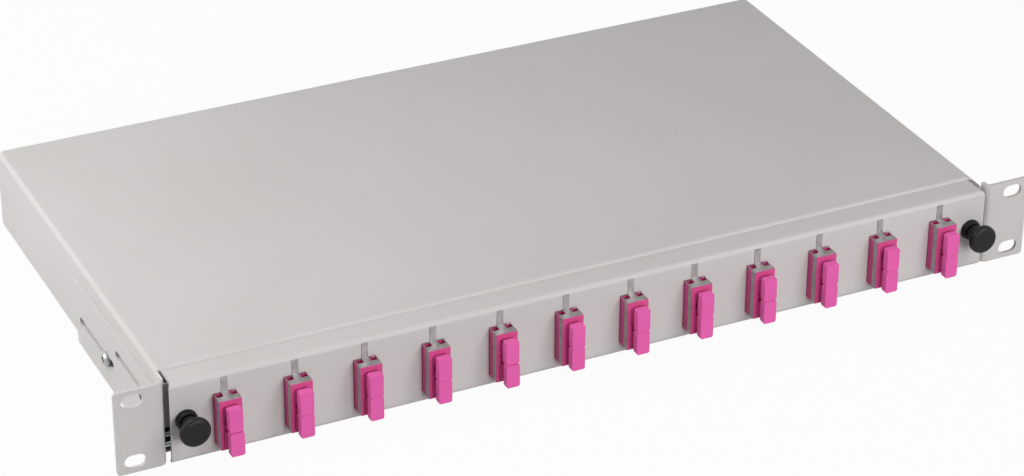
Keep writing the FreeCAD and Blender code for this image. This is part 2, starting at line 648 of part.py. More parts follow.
def make_adapter(across):
    """Duplex adapter: a moulded body with a rim behind the face and two ports at each end."""
    wide = ADAPTER_WIDTH / 2
    tall = ADAPTER_TALL / 2
    low = ADAPTER_Z - tall
    high = ADAPTER_Z + tall
    body = block((across - wide, across + wide), (ADAPTER_FRONT_Y, ADAPTER_REAR_Y), (low, high))
    rim = block((across - wide - ADAPTER_RIM, across + wide + ADAPTER_RIM),
                (FACE_BACK_Y, FACE_BACK_Y + ADAPTER_RIM_DEPTH), (low - ADAPTER_RIM, high + ADAPTER_RIM))
    body = body.fuse(rim)

    # Grooves for the clip's side bands, its strap and the pocket under its window
    band_front = FACE_Y - CLIP_FRONT
    cutters = []
    for side in (-1, 1):
        cutters.append(block((across + side * (wide - CLIP_SHEET), across + side * HUGE),
                             (band_front, band_front + CLIP_BAND), (low, high)))
    cutters.append(block((across - wide, across + wide), (band_front, FACE_Y), (high - CLIP_SHEET, HUGE)))
    cutters.append(block((across - wide + CLIP_SHEET, across - wide + CLIP_SHEET + CLIP_WINDOW_WIDTH),
                         (FACE_Y - CLIP_WINDOW_LENGTH, FACE_Y), (high - CLIP_SHEET - CLIP_POCKET, HUGE)))

    # Ports, and the bore between them for the sleeve
    for side in (-1, 1):
        port_z = PORTS_Z + side * PORT_PITCH / 2
        for mouth, way in ((ADAPTER_FRONT_Y, 1), (ADAPTER_REAR_Y, -1)):
            depth = (mouth, mouth + way * PORT_DEPTH)
            cutters.append(block((across - PORT_WIDTH / 2, across + PORT_WIDTH / 2), depth,
                                 (port_z - PORT_TALL / 2, port_z + PORT_TALL / 2)))
        cutters.append(flat_bar(SLEEVE_OUTER + 2 * SLEEVE_PLAY, vec(across, ADAPTER_FRONT_Y, port_z),
                                  vec(across, ADAPTER_REAR_Y, port_z), SLEEVE_SIDES))
    return body.cut(cutters)


def make_clips():
    """Spring-steel clips: a band down each side of an adapter, a strap over it and a tongue."""
    clips = []
    wide = ADAPTER_WIDTH / 2
    high = ADAPTER_Z + ADAPTER_TALL / 2
    low = ADAPTER_Z - ADAPTER_TALL / 2
    band_front = FACE_Y - CLIP_FRONT
    for across in adapter_places():
        strap_low = high - CLIP_SHEET
        strap = block((across - wide, across + wide), (band_front, FACE_Y), (strap_low, high))
        bands = [block((across + side * (wide - CLIP_SHEET), across + side * wide),
                       (band_front, band_front + CLIP_BAND), (low, high)) for side in (-1, 1)]
        tongue = block((across - CLIP_TONGUE_WIDTH / 2, across + CLIP_TONGUE_WIDTH / 2),
                       (FACE_Y - CLIP_SHEET, FACE_Y), (strap_low, BASE_Z + CLIP_TONGUE_TOP))
        window_left = across - wide + CLIP_SHEET
        window = block((window_left, window_left + CLIP_WINDOW_WIDTH),
                       (FACE_Y - CLIP_WINDOW_LENGTH, FACE_Y - CLIP_SHEET), (strap_low, high))
        clips.append(strap.cut(window).fuse(bands + [tongue]).removeSplitter())
    return Part.makeCompound(clips)


def make_sleeves():
    """Ceramic sleeves that line up the two ferrules of each port."""
    sleeves = []
    for across in adapter_places():
        for side in (-1, 1):
            start = vec(across, ADAPTER_MIDDLE_Y - SLEEVE_LENGTH / 2, PORTS_Z + side * PORT_PITCH / 2)
            end = start + vec(0, SLEEVE_LENGTH, 0)
            bore = flat_bar(SLEEVE_BORE, start, end, SLEEVE_SIDES)
            sleeves.append(flat_bar(SLEEVE_OUTER, start, end, SLEEVE_SIDES).cut(bore))
    return Part.makeCompound(sleeves)


def make_cap(across, port_z, mouth, way, standoff):
    """Dust cap: a slab to grip, a neck and a plug in the port; way points out of the port."""
    seat = mouth + way * standoff
    end = seat + way * CAP_REACH
    slab_back = end - way * CAP_SLAB

    def bar(width, tall, depth):
        return block((across - width / 2, across + width / 2), depth, (port_z - tall / 2, port_z + tall / 2))

    slab = bar(CAP_WIDTH, CAP_TALL, (slab_back, end))
    slab = slab.makeChamfer(CAP_CORNER, edges_along(slab, vec(0, 1, 0), lambda at: True))
    neck = bar(CAP_NECK_WIDTH, CAP_NECK_TALL, (seat, slab_back))
    plug_depth = (seat, seat - way * CAP_PLUG_LENGTH)
    plug = bar(PORT_WIDTH - 2 * CAP_PLUG_PLAY, PORT_TALL - 2 * CAP_PLUG_PLAY, plug_depth)
    return slab.fuse([neck, plug]).removeSplitter()


def make_front_caps(number, across):
    """The two dust caps of one adapter; some lower caps stand out a little."""
    upper = make_cap(across, PORTS_Z + PORT_PITCH / 2, ADAPTER_FRONT_Y, -1, 0)
    lower = make_cap(across, PORTS_Z - PORT_PITCH / 2, ADAPTER_FRONT_Y, -1, CAP_STANDOFF.get(number, 0))
    return Part.makeCompound([upper, lower])


def make_rear_caps():
    """Dust caps on the ports inside the drawer."""
    caps = []
    for across in adapter_places():
        for side in (-1, 1):
            caps.append(make_cap(across, PORTS_Z + side * PORT_PITCH / 2, ADAPTER_REAR_Y, 1, 0))
    return Part.makeCompound(caps)


def make_grommet(side):
    """Latch grommet: a collar on the face and a slit barrel that reaches through the strike."""
    at = vec(side * LATCH_X, FACE_Y, LATCH_Z)
    end = LATCH_LEG_END - FACE_Y
    stations = [(-LATCH_COLLAR_DEPTH, LATCH_COLLAR_CROWN), (-LATCH_COLLAR_DEPTH / 2, LATCH_COLLAR),
                (0, LATCH_COLLAR), (0, LATCH_BARREL), (end, LATCH_BARREL)]
    grommet = turned(stations, at, vec(0, 1, 0), LATCH_SIDES)
    bore = flat_bar(LATCH_BORE, at - vec(0, LATCH_COLLAR_DEPTH, 0), at + vec(0, end, 0), LATCH_SIDES)
    slit_depth = (FACE_BACK_Y + 2 * LATCH_SLIT, LATCH_LEG_END)
    half = LATCH_SLIT / 2
    wide = LATCH_BARREL
    level = block((at.x - wide, at.x + wide), slit_depth, (at.z - half, at.z + half))
    upright = block((at.x - half, at.x + half), slit_depth, (at.z - wide, at.z + wide))
    return grommet.cut([bore, level, upright])


def make_plunger(side):
    """Latch plunger: a mushroom head to pull, a neck and a stem in the grommet's bore."""
    at = vec(side * LATCH_X, FACE_Y, LATCH_Z)
    head_back = LATCH_HEAD_DEPTH - LATCH_REACH
    seat = -LATCH_COLLAR_DEPTH - LATCH_SEAT_GAP
    stem_end = LATCH_LEG_END - FACE_Y - LATCH_TIP
    crown = LATCH_HEAD - 2 * LATCH_HEAD_EDGE
    stations = [(-LATCH_REACH, crown), (-LATCH_REACH + LATCH_HEAD_EDGE, LATCH_HEAD),
                (head_back - LATCH_HEAD_EDGE, LATCH_HEAD), (head_back, crown), (head_back, LATCH_NECK),
                (seat, LATCH_NECK), (seat, LATCH_STEM), (stem_end - LATCH_TIP, LATCH_STEM),
                (stem_end, LATCH_STEM - 2 * LATCH_TIP)]
    return turned(stations, at, vec(0, 1, 0), LATCH_SIDES)


def rounded_plate(width, depth, corner, low, high):
    """Upright prism centred on the cassette, its corners rounded with a few flats."""
    points = []
    for turn in range(4 * (CASSETTE_CORNER_FLATS + 1)):
        quarter, step = divmod(turn, CASSETTE_CORNER_FLATS + 1)
        angle = math.pi / 2 * (quarter + step / CASSETTE_CORNER_FLATS)
        side_x = 1 if quarter in (0, 3) else -1
        side_y = 1 if quarter in (0, 1) else -1
        points.append(vec(side_x * (width / 2 - corner) + corner * math.cos(angle),
                          CASSETTE_Y + side_y * (depth / 2 - corner) + corner * math.sin(angle), low))
    return flat_face(points).extrude(vec(0, 0, high - low))


def make_cassette():
    """Splice cassette: a moulded tray with fibre gates, two winding drums and stud bosses."""
    wall = 2 * CASSETTE_WALL
    cassette = rounded_plate(CASSETTE_WIDTH, CASSETTE_DEPTH, CASSETTE_CORNER, CASSETTE_BOTTOM, CASSETTE_TOP)
    cassette = cassette.cut(rounded_plate(CASSETTE_WIDTH - wall, CASSETTE_DEPTH - wall,
                                          CASSETTE_CORNER - CASSETTE_WALL,
                                          CASSETTE_BOTTOM + CASSETTE_FLOOR, CASSETTE_TOP))
    floor = CASSETTE_BOTTOM + CASSETTE_FLOOR
    gates = []
    for side in (-1, 1):
        middle = side * (CASSETTE_WIDTH / 2 - CASSETTE_CORNER - CASSETTE_GATE / 2)
        gates.append(block((middle - CASSETTE_GATE / 2, middle + CASSETTE_GATE / 2),
                           (CASSETTE_Y, CASSETTE_Y + CASSETTE_DEPTH), (floor, CASSETTE_TOP)))
    cassette = cassette.cut(gates)
    drums = []
    for side in (-1, 1):
        start = vec(side * (CASSETTE_WIDTH / 2 - DRUM_INSET), CASSETTE_Y, floor)
        end = start + vec(0, 0, DRUM_TALL)
        inside = flat_bar(DRUM_OUTER - 2 * DRUM_WALL, start, end, DRUM_SIDES)
        inner_half = block((start.x, -side * HUGE), (-HUGE, HUGE), (floor, floor + DRUM_TALL))
        drums.append(flat_bar(DRUM_OUTER, start, end, DRUM_SIDES).cut([inside, inner_half]))
    cassette = cassette.fuse(drums)
    holes = []
    for side in (-1, 1):
        at = vec(side * STUD_X, CASSETTE_Y, CASSETTE_BOTTOM)
        holes.append(flat_bar(STUD_SHANK + STUD_PLAY, at, at + vec(0, 0, CASSETTE_FLOOR), SMALL_SIDES))
    return cassette.cut(holes).removeSplitter()


def make_cassette_studs():
    """Flat-headed studs that hold the cassette to the tray floor."""
    stations = [(-STUD_HEAD_TALL, STUD_HEAD - 2 * STUD_PLAY), (0, STUD_HEAD), (0, STUD_SHANK),
                (CASSETTE_FLOOR + TRAY_SHEET, STUD_SHANK)]
    at = vec(STUD_X, CASSETTE_Y, CASSETTE_BOTTOM + CASSETTE_FLOOR)
    return both_sides([turned(stations, at, vec(0, 0, -1), SMALL_SIDES)])


def make_splice_holders():
    """Two slotted combs that grip the splice sleeves in the middle of the cassette."""
    holders = []
    floor = CASSETTE_BOTTOM + CASSETTE_FLOOR
    for side in (-1, 1):
        middle_y = CASSETTE_Y + side * (HOLDER_WIDTH / 2 + STUD_PLAY)
        comb = block((-HOLDER_LENGTH / 2, HOLDER_LENGTH / 2),
                     (middle_y - HOLDER_WIDTH / 2, middle_y + HOLDER_WIDTH / 2), (floor, floor + HOLDER_TALL))
        pitch = HOLDER_WIDTH / HOLDER_SLOTS
        slots = []
        for index in range(HOLDER_SLOTS):
            slot_y = middle_y + pitch * (index - (HOLDER_SLOTS - 1) / 2)
            slots.append(block((-HOLDER_LENGTH, HOLDER_LENGTH),
                               (slot_y - HOLDER_SLOT_WIDTH / 2, slot_y + HOLDER_SLOT_WIDTH / 2),
                               (floor + HOLDER_TALL - HOLDER_SLOT_DEPTH, floor + HOLDER_TALL)))
        holders.append(comb.cut(slots))
    return Part.makeCompound(holders)


def make_cassette_lid():
    """Snap-on lid: a thin plate with a lip that drops inside the cassette wall."""
    lid = rounded_plate(CASSETTE_WIDTH, CASSETTE_DEPTH, CASSETTE_CORNER,
                        CASSETTE_TOP, CASSETTE_TOP + LID_SHEET)
    inset = 2 * (CASSETTE_WALL + LID_PLAY)
    lip = rounded_plate(CASSETTE_WIDTH - inset, CASSETTE_DEPTH - inset, CASSETTE_CORNER - inset / 2,
                        CASSETTE_TOP - LID_LIP, CASSETTE_TOP)
    inner = inset + 2 * LID_SHEET
    lip = lip.cut(rounded_plate(CASSETTE_WIDTH - inner, CASSETTE_DEPTH - inner, CASSETTE_CORNER - inner / 2,
                                CASSETTE_TOP - LID_LIP, CASSETTE_TOP))
    return lid.fuse(lip).removeSplitter()


def make_fibre_guides():
    """Open plastic hoops on the tray floor that keep the fibres in their bend."""
    guides = []
    for side in (-1, 1):
        for depth in (GUIDE_FRONT_Y, TRAY_REAR_Y - GUIDE_REAR_GAP):
            middle = side * (TRAY_HALF - GUIDE_INSET)
            low = TRAY_FLOOR
            high = TRAY_FLOOR + GUIDE_TALL
            hoop = block((middle - GUIDE_WIDTH / 2, middle + GUIDE_WIDTH / 2),
                         (depth - GUIDE_DEPTH / 2, depth + GUIDE_DEPTH / 2), (low, high))
            hoop = hoop.makeChamfer(GUIDE_WALL / 2, edges_along(hoop, vec(0, 1, 0), lambda at: at.z > low))
            inside = block((middle - GUIDE_WIDTH / 2 + GUIDE_WALL, middle + GUIDE_WIDTH / 2 - GUIDE_WALL),
                           (depth - GUIDE_DEPTH, depth + GUIDE_DEPTH), (low + GUIDE_WALL, high - GUIDE_WALL))
            mouth = block((middle - GUIDE_MOUTH / 2, middle + GUIDE_MOUTH / 2),
                          (depth - GUIDE_DEPTH, depth + GUIDE_DEPTH), (high - 2 * GUIDE_WALL, high))
            guides.append(hoop.cut([inside, mouth]))
    return Part.makeCompound(guides)


def make_pieces():
    """Every piece of the panel by its node name."""
    bracket = make_bracket()
    outer_runner = make_outer_runner()
    inner_runner = make_inner_runner()
    pieces = {
        "housing_hood": make_hood(),
        "base_plate": make_base(),
        "bracket_right": bracket,
        "bracket_left": mirror(bracket),
        "bracket_screws": make_bracket_screws(),
        "bracket_nuts": make_bracket_nuts(),
        "case_screws": make_case_screws(),
        "entry_plugs": make_entry_plugs(),
        "runner_outer_right": outer_runner,
        "runner_outer_left": mirror(outer_runner),
        "runner_inner_right": inner_runner,
        "runner_inner_left": mirror(inner_runner),
        "runner_rivets": make_runner_rivets(),
        "drawer_tray": make_tray(),
        "front_panel": make_front(),
        "adapter_clips": make_clips(),
        "alignment_sleeves": make_sleeves(),
        "rear_dust_caps": make_rear_caps(),
        "splice_cassette": make_cassette(),
        "cassette_studs": make_cassette_studs(),
        "splice_holders": make_splice_holders(),
        "cassette_lid": make_cassette_lid(),
        "fibre_guides": make_fibre_guides(),
    }
    for name, side in SIDES.items():
        pieces["latch_grommet_" + name] = make_grommet(side)
        pieces["latch_plunger_" + name] = make_plunger(side)
    for number, across in enumerate(adapter_places(), start=1):
        pieces[f"adapter_{number:02d}"] = make_adapter(across)
        pieces[f"dust_caps_{number:02d}"] = make_front_caps(number, across)
    return pieces


os.makedirs("parts", exist_ok=True)
for node, shape in make_pieces().items():
    shape.exportStep(f"parts/{node}.step")
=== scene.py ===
from math import pi, radians

import bmesh
import bpy
from mathutils import Matrix, Vector


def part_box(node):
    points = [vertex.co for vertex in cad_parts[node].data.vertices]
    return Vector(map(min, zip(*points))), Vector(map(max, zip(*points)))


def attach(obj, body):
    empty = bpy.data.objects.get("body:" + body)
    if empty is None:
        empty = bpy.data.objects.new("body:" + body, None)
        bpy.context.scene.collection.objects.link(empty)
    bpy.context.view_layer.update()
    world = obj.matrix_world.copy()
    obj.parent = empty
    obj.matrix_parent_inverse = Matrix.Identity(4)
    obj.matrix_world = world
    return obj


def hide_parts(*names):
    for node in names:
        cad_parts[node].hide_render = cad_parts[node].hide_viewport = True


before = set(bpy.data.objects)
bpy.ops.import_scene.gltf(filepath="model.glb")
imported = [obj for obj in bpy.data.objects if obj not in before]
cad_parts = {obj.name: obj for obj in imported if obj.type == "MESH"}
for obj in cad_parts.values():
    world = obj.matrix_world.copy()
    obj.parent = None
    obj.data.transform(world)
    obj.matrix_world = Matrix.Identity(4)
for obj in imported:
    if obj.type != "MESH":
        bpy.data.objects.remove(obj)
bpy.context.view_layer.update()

# Base plate: floor and rear wall of the case, folded from one steel sheet and powder-coated
# light grey with a fine orange peel. It stands inside the hood and is screwed to its feet.
COAT_GREY = (0.585, 0.565, 0.55)
COAT_PALE = (0.62, 0.6, 0.588)
SHEET_EDGE = 0.00028
SHARP_ANGLE = radians(35)
FLAT_ANGLE = radians(0.5)
FLAT_WEIGHT = 100
WELD_GAP = 0.000002
GRAIN_LOW, GRAIN_HIGH = 0.3, 0.7


def finish(name, colour, roughness, metallic=0.0):
    """A new material with its shader's plain numbers set."""
    material = bpy.data.materials.new(name)
    material.use_nodes = True
    shader = material.node_tree.nodes["Principled BSDF"]
    shader.inputs["Base Color"].default_value = (*colour, 1)
    shader.inputs["Roughness"].default_value = roughness
    shader.inputs["Metallic"].default_value = metallic
    return material, shader


def grain(material, scale, detail, stretch=(1, 1, 1)):
    """Noise on the piece's own coordinates; scale counts the grains in a metre."""
    nodes, links = material.node_tree.nodes, material.node_tree.links
    place = nodes.new("ShaderNodeTexCoord")
    turn = nodes.new("ShaderNodeMapping")
    turn.inputs["Scale"].default_value = stretch
    noise = nodes.new("ShaderNodeTexNoise")
    noise.inputs["Scale"].default_value = scale
    noise.inputs["Detail"].default_value = detail
    links.new(place.outputs["Object"], turn.inputs["Vector"])
    links.new(turn.outputs["Vector"], noise.inputs["Vector"])
    return noise.outputs["Fac"]


def tint(material, shader, fac, dark, pale):
    """Base colour that drifts between two shades with a grain."""
    ramp = material.node_tree.nodes.new("ShaderNodeValToRGB")
    ramp.color_ramp.elements[0].position = GRAIN_LOW
    ramp.color_ramp.elements[1].position = GRAIN_HIGH
    ramp.color_ramp.elements[0].color = (*dark, 1)
    ramp.color_ramp.elements[1].color = (*pale, 1)
    material.node_tree.links.new(fac, ramp.inputs["Fac"])
    material.node_tree.links.new(ramp.outputs["Color"], shader.inputs["Base Color"])


def gloss(material, shader, fac, low, high):
    """Roughness that drifts between two values with a grain."""
    spread = material.node_tree.nodes.new("ShaderNodeMapRange")
    spread.inputs["From Min"].default_value = GRAIN_LOW
    spread.inputs["From Max"].default_value = GRAIN_HIGH
    spread.inputs["To Min"].default_value = low
    spread.inputs["To Max"].default_value = high
    material.node_tree.links.new(fac, spread.inputs["Value"])
    material.node_tree.links.new(spread.outputs["Result"], shader.inputs["Roughness"])


def relief(material, shader, fac, strength, height):
    """Fine bumps from a grain; height in metres."""
    bump = material.node_tree.nodes.new("ShaderNodeBump")
    bump.inputs["Strength"].default_value = strength
    bump.inputs["Distance"].default_value = height
    material.node_tree.links.new(fac, bump.inputs["Height"])
    material.node_tree.links.new(bump.outputs["Normal"], shader.inputs["Normal"])


def settle(piece, body, slot, material, *nodes):
    """Give a finished piece its material and its body, and hide the CAD nodes it stands for. The
    slot is not used.
    """
    piece.data.materials.clear()
    piece.data.materials.append(material)
    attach(piece, body)
    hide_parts(*nodes)


def shaped(shape, name, edge, segments=2):
    """A new piece from a finished shape, smooth, with its sharp edges rounded."""
    mesh = bpy.data.meshes.new(name)
    shape.to_mesh(mesh)
    shape.free()
    mesh.shade_smooth()
    piece = bpy.data.objects.new(name, mesh)
    bpy.context.scene.collection.objects.link(piece)
    rounding = piece.modifiers.new("rounded_edges", "BEVEL")
    rounding.limit_method = "ANGLE"
    rounding.angle_limit = SHARP_ANGLE
    rounding.width = edge
    rounding.segments = segments
    flats = piece.modifiers.new("flat_faces", "WEIGHTED_NORMAL")
    flats.mode = "FACE_AREA"
    flats.weight = FLAT_WEIGHT
    flats.keep_sharp = True
    return piece


def welded(node):
    """A copy of a CAD node's mesh, with the corners that lie on each other joined."""
    shape = bmesh.new()
    shape.from_mesh(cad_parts[node].data)
    bmesh.ops.remove_doubles(shape, verts=shape.verts, dist=WELD_GAP)
    return shape


def flattened(shape):
    """The same shape, with the faces that lie in one plane joined."""
    bmesh.ops.dissolve_limit(shape, angle_limit=FLAT_ANGLE, verts=shape.verts, edges=shape.edges)
    return shape


def softened(node, name, edge, segments=2):
    """A piece of a CAD node's form, with its sharp edges rounded."""
    return shaped(flattened(welded(node)), name, edge, segments)


powder_coat, coat_shader = finish("powder_coat", COAT_GREY, roughness=0.52)
coat_clouds = grain(powder_coat, scale=9, detail=3)
coat_specks = grain(powder_coat, scale=420, detail=2)
coat_peel = grain(powder_coat, scale=1500, detail=2)
tint(powder_coat, coat_shader, coat_clouds, dark=COAT_GREY, pale=COAT_PALE)
gloss(powder_coat, coat_shader, coat_specks, low=0.47, high=0.6)
relief(powder_coat, coat_shader, coat_peel, strength=0.22, height=0.00006)
settle(softened("base_plate", "base_sheet", SHEET_EDGE), "housing", "powder_coat", powder_coat,
       "base_plate")

# Blanking plugs: black nylon discs with a rounded flange, pushed into the four cable entries
# of the rear wall from behind.
BLACK_NYLON = (0.006, 0.006, 0.0065)
WORN_NYLON = (0.009, 0.009, 0.0095)
PLUG_ACROSS = (-0.1871, -0.1551, 0.1551, 0.1871)
PLUG_REAR = 0.2448
PLUG_HEIGHT = -0.0008
PLUG_PROFILE = ((0, 0), (0, 0.0216), (0.001, 0.024), (0.002, 0.024), (0.002, 0.0194),
                (0.008, 0.019), (0.008, 0))
PLUG_EDGE = 0.0005
TURN_STEPS = 48


def turned(shape, profile, at, way):
    """Turn a profile of (distance, diameter) pairs round an axis that starts at a point."""
    at, way = Vector(at), Vector(way)
    side = way.orthogonal().normalized()
    corners = [shape.verts.new(at + way * along + side * (wide / 2)) for along, wide in profile]
    edges = [shape.edges.new(pair) for pair in zip(corners, corners[1:])]
    bmesh.ops.spin(shape, geom=corners + edges, cent=at, axis=way, angle=2 * pi, steps=TURN_STEPS,
                   use_merge=True)
    bmesh.ops.remove_doubles(shape, verts=shape.verts, dist=WELD_GAP)
    bmesh.ops.recalc_face_normals(shape, faces=shape.faces)


black_nylon, nylon_shader = finish("black_nylon", BLACK_NYLON, roughness=0.4)
nylon_shader.inputs["Specular IOR Level"].default_value = 0.22
nylon_clouds = grain(black_nylon, scale=60, detail=2)
nylon_specks = grain(black_nylon, scale=900, detail=2)
nylon_skin = grain(black_nylon, scale=2600, detail=1)
tint(black_nylon, nylon_shader, nylon_clouds, dark=BLACK_NYLON, pale=WORN_NYLON)
gloss(black_nylon, nylon_shader, nylon_specks, low=0.36, high=0.5)
relief(black_nylon, nylon_shader, nylon_skin, strength=0.1, height=0.00004)
plugs = bmesh.new()
for across in PLUG_ACROSS:
    turned(plugs, PLUG_PROFILE, (across, PLUG_REAR, PLUG_HEIGHT), (0, -1, 0))
settle(shaped(plugs, "blanking_plugs", PLUG_EDGE, segments=3), "housing", "black_plastic",
       black_nylon, "entry_plugs")

# Outer runners: bright zinc-plated steel channels, rolled from strip, with the rolling marks
# along them. They are fixed inside the case, one at each side.
ZINC = (0.42, 0.43, 0.44)
ZINC_DARK = (0.34, 0.35, 0.36)
ZINC_PALE = (0.48, 0.49, 0.5)
RUNNER_EDGE = 0.0002
zinc_plate, zinc_shader = finish("zinc_plate", ZINC, roughness=0.4, metallic=1.0)
zinc_spangle = grain(zinc_plate, scale=160, detail=4)
zinc_streaks = grain(zinc_plate, scale=700, detail=2, stretch=(1, 0.05, 1))
zinc_rolling = grain(zinc_plate, scale=1400, detail=1, stretch=(1, 0.04, 1))
tint(zinc_plate, zinc_shader, zinc_spangle, dark=ZINC_DARK, pale=ZINC_PALE)
gloss(zinc_plate, zinc_shader, zinc_streaks, low=0.34, high=0.5)
relief(zinc_plate, zinc_shader, zinc_rolling, strength=0.08, height=0.00003)
for side in ("left", "right"):
    settle(softened(f"runner_outer_{side}", f"case_runner_{side}", RUNNER_EDGE), "housing",
           "runner_steel", zinc_plate, f"runner_outer_{side}")

# Hood: top, sides, feet, front and rear lips and latch strikes in one folded steel sheet,
# coated like the base. Its long front edge is rounded and catches the light.
settle(softened("housing_hood", "hood_sheet", SHEET_EDGE), "housing", "powder_coat", powder_coat,
       "housing_hood")

# Case screws: zinc-plated countersunk steel screws, driven from below through the hood's feet
# into the base plate and flush with the feet.
CASE_SCREW_EDGE = 0.0002
settle(softened("case_screws", "foot_screws", CASE_SCREW_EDGE), "housing", "fastener_steel",
       zinc_plate, "case_screws")

# Rack brackets: thick steel angles with slotted ears, coated like the case and screwed to its
# sides through long slots.
BRACKET_EDGE = 0.0003
for side in ("left", "right"):
    settle(softened(f"bracket_{side}", f"rack_ear_{side}", BRACKET_EDGE), "housing", "powder_coat",
           powder_coat, f"bracket_{side}")

# Bracket screws and clinch nuts: zinc-plated steel. The pan heads have a cross recess and sit
# on the brackets' slots, and the nuts are pressed into the case side behind them.
PAN_PROFILE = ((-0.0022, 0), (-0.0022, 0.0054), (-0.0011, 0.0076), (0, 0.0076), (0, 0.0038),
               (0.006, 0.0038), (0.006, 0))
PAN_SEAT = 0.2191
PAN_PLACES = ((0.0735, -0.0072), (0.02, 0.0028))
PAN_EDGE = 0.0003
NUT_EDGE = 0.0002
RECESS_LENGTH = 0.0042
RECESS_WIDTH = 0.0011
RECESS_DEPTH = 0.0012
RECESS_CUTS = (-RECESS_LENGTH / 2, -RECESS_WIDTH / 2, RECESS_WIDTH / 2, RECESS_LENGTH / 2)
SAME_PLANE = 1e-6
CUT_GAP = 1e-7


def score(shape, faces, place, way):
    """Divide some faces along a plane."""
    rims = {edge for face in faces for edge in face.edges}
    corners = {corner for face in faces for corner in face.verts}
    bmesh.ops.bisect_plane(shape, geom=faces + list(rims) + list(corners), dist=CUT_GAP,
                           plane_co=place, plane_no=way)


def sink(shape, faces, move):
    """Push some faces in, with walls round them."""
    pushed = bmesh.ops.extrude_face_region(shape, geom=faces)["geom"]
    bmesh.ops.delete(shape, geom=faces, context="FACES")
    corners = [part for part in pushed if isinstance(part, bmesh.types.BMVert)]
    bmesh.ops.translate(shape, verts=corners, vec=move)
    bmesh.ops.recalc_face_normals(shape, faces=shape.faces)


def crown_faces(shape, crown):
    """The faces of a screw head that lie in the plane of its crown."""
    return [face for face in shape.faces
            if all(abs(corner.co.x - crown.x) < SAME_PLANE for corner in face.verts)]


def cross_recess(shape, crown, way):
    """Sink a cross in the flat crown of a screw head; way points down the screw along X."""
    bmesh.ops.dissolve_faces(shape, faces=crown_faces(shape, crown), use_verts=True)
    for axis in (Vector((0, 1, 0)), Vector((0, 0, 1))):
        for reach in RECESS_CUTS:
            score(shape, crown_faces(shape, crown), crown + axis * reach, axis)
    inside = []
    for face in crown_faces(shape, crown):
        middle = face.calc_center_median() - crown
        near, far = sorted((abs(middle.y), abs(middle.z)))
        if near < RECESS_WIDTH / 2 and far < RECESS_LENGTH / 2:
            inside.append(face)
    sink(shape, inside, way * RECESS_DEPTH)


pans = bmesh.new()
for side in (-1, 1):
    for depth, height in PAN_PLACES:
        screw = bmesh.new()
        seat = Vector((side * PAN_SEAT, depth, height))
        inward = Vector((-side, 0, 0))
        turned(screw, PAN_PROFILE, seat, inward)
        cross_recess(screw, seat + inward * PAN_PROFILE[0][0], inward)
        made = bpy.data.meshes.new("pan_screw")
        screw.to_mesh(made)
        screw.free()
        pans.from_mesh(made)
        bpy.data.meshes.remove(made)
settle(shaped(pans, "pan_screws", PAN_EDGE), "housing", "fastener_steel", zinc_plate,
       "bracket_screws")
settle(softened("bracket_nuts", "clinch_nuts", NUT_EDGE), "housing", "fastener_steel", zinc_plate,
       "bracket_nuts")

# Drawer tray: floor, walls and front tabs folded from one coated steel sheet. It hangs on the
# zinc-plated inner runners, which are riveted to its walls and slide in the outer ones.
RIVET_EDGE = 0.0002
settle(softened("drawer_tray", "tray_sheet", SHEET_EDGE), "drawer", "powder_coat", powder_coat,
       "drawer_tray")
for side in ("left", "right"):
    settle(softened(f"runner_inner_{side}", f"tray_runner_{side}", RUNNER_EDGE), "drawer",
           "runner_steel", zinc_plate, f"runner_inner_{side}")
settle(softened("runner_rivets", "tray_rivets", RIVET_EDGE), "drawer", "fastener_steel", zinc_plate,
       "runner_rivets")

# Drawer front: one coated steel sheet with rolled long edges and a row of cut-outs, fixed to
# the tray's tabs. Its top flange is cut back a little at both ends, which leaves a dark slit
# beside the hood.
FACE_FRONT = -0.003
FACE_EDGE = 0.0002
BEND_LOW = 0.0175
BEND_DEPTH = 0.0025
FLANGE_END = 0.2154
FLANGE_RELIEF = 0.0014
FLANGE_REAR = 0.0105
FLANGE_REACH = 0.00025
front = flattened(welded("front_panel"))
rear_edge = [corner for corner in front.verts
             if corner.co.y > FLANGE_REAR and corner.co.z > BEND_LOW]
bmesh.ops.translate(front, verts=rear_edge, vec=(0, FLANGE_REACH, 0))
for side in (-1, 1):
    for corner in front.verts:
        if corner.co.x * side > FLANGE_END and corner.co.z > BEND_LOW:
            cut = min(1, (corner.co.y - FACE_FRONT) / BEND_DEPTH)
            bmesh.ops.translate(front, verts=[corner], vec=(-side * FLANGE_RELIEF * cut, 0, 0))
settle(shaped(front, "drawer_front", FACE_EDGE), "drawer", "powder_coat", powder_coat,
       "front_panel")

# Adapters: magenta mouldings that snap into the cut-outs up to their rims, with a ceramic
# sleeve inside each port. Under each clip the top has a pocket left and right of the tongue.
# The right-hand pockets are sunk here.
MAGENTA = (0.64, 0.08, 0.27)
MAGENTA_PALE = (0.68, 0.088, 0.29)
CERAMIC = (0.82, 0.82, 0.8)
CERAMIC_PALE = (0.86, 0.86, 0.84)
ADAPTER_COUNT = 12
ADAPTER_PITCH = 0.0344
ADAPTER_WIDTH = 0.011
ADAPTER_EDGE = 0.00019
SLEEVE_EDGE = 0.0001
CLIP_SEAT = 0.0099
POCKET_SIDES = (0.0019, 0.0051)
POCKET_ENDS = (-0.0066, -0.0034)
POCKET_DEPTH = 0.0022
LEVEL = 0.9


def level_faces(shape, height, middle):
    """The level faces of one adapter or clip at a height."""
    found = []
    for face in shape.faces:
        centre = face.calc_center_median()
        if (abs(face.normal.z) > LEVEL and abs(centre.z - height) < SAME_PLANE
                and abs(centre.x - middle) < ADAPTER_WIDTH / 2):
            found.append(face)
    return found


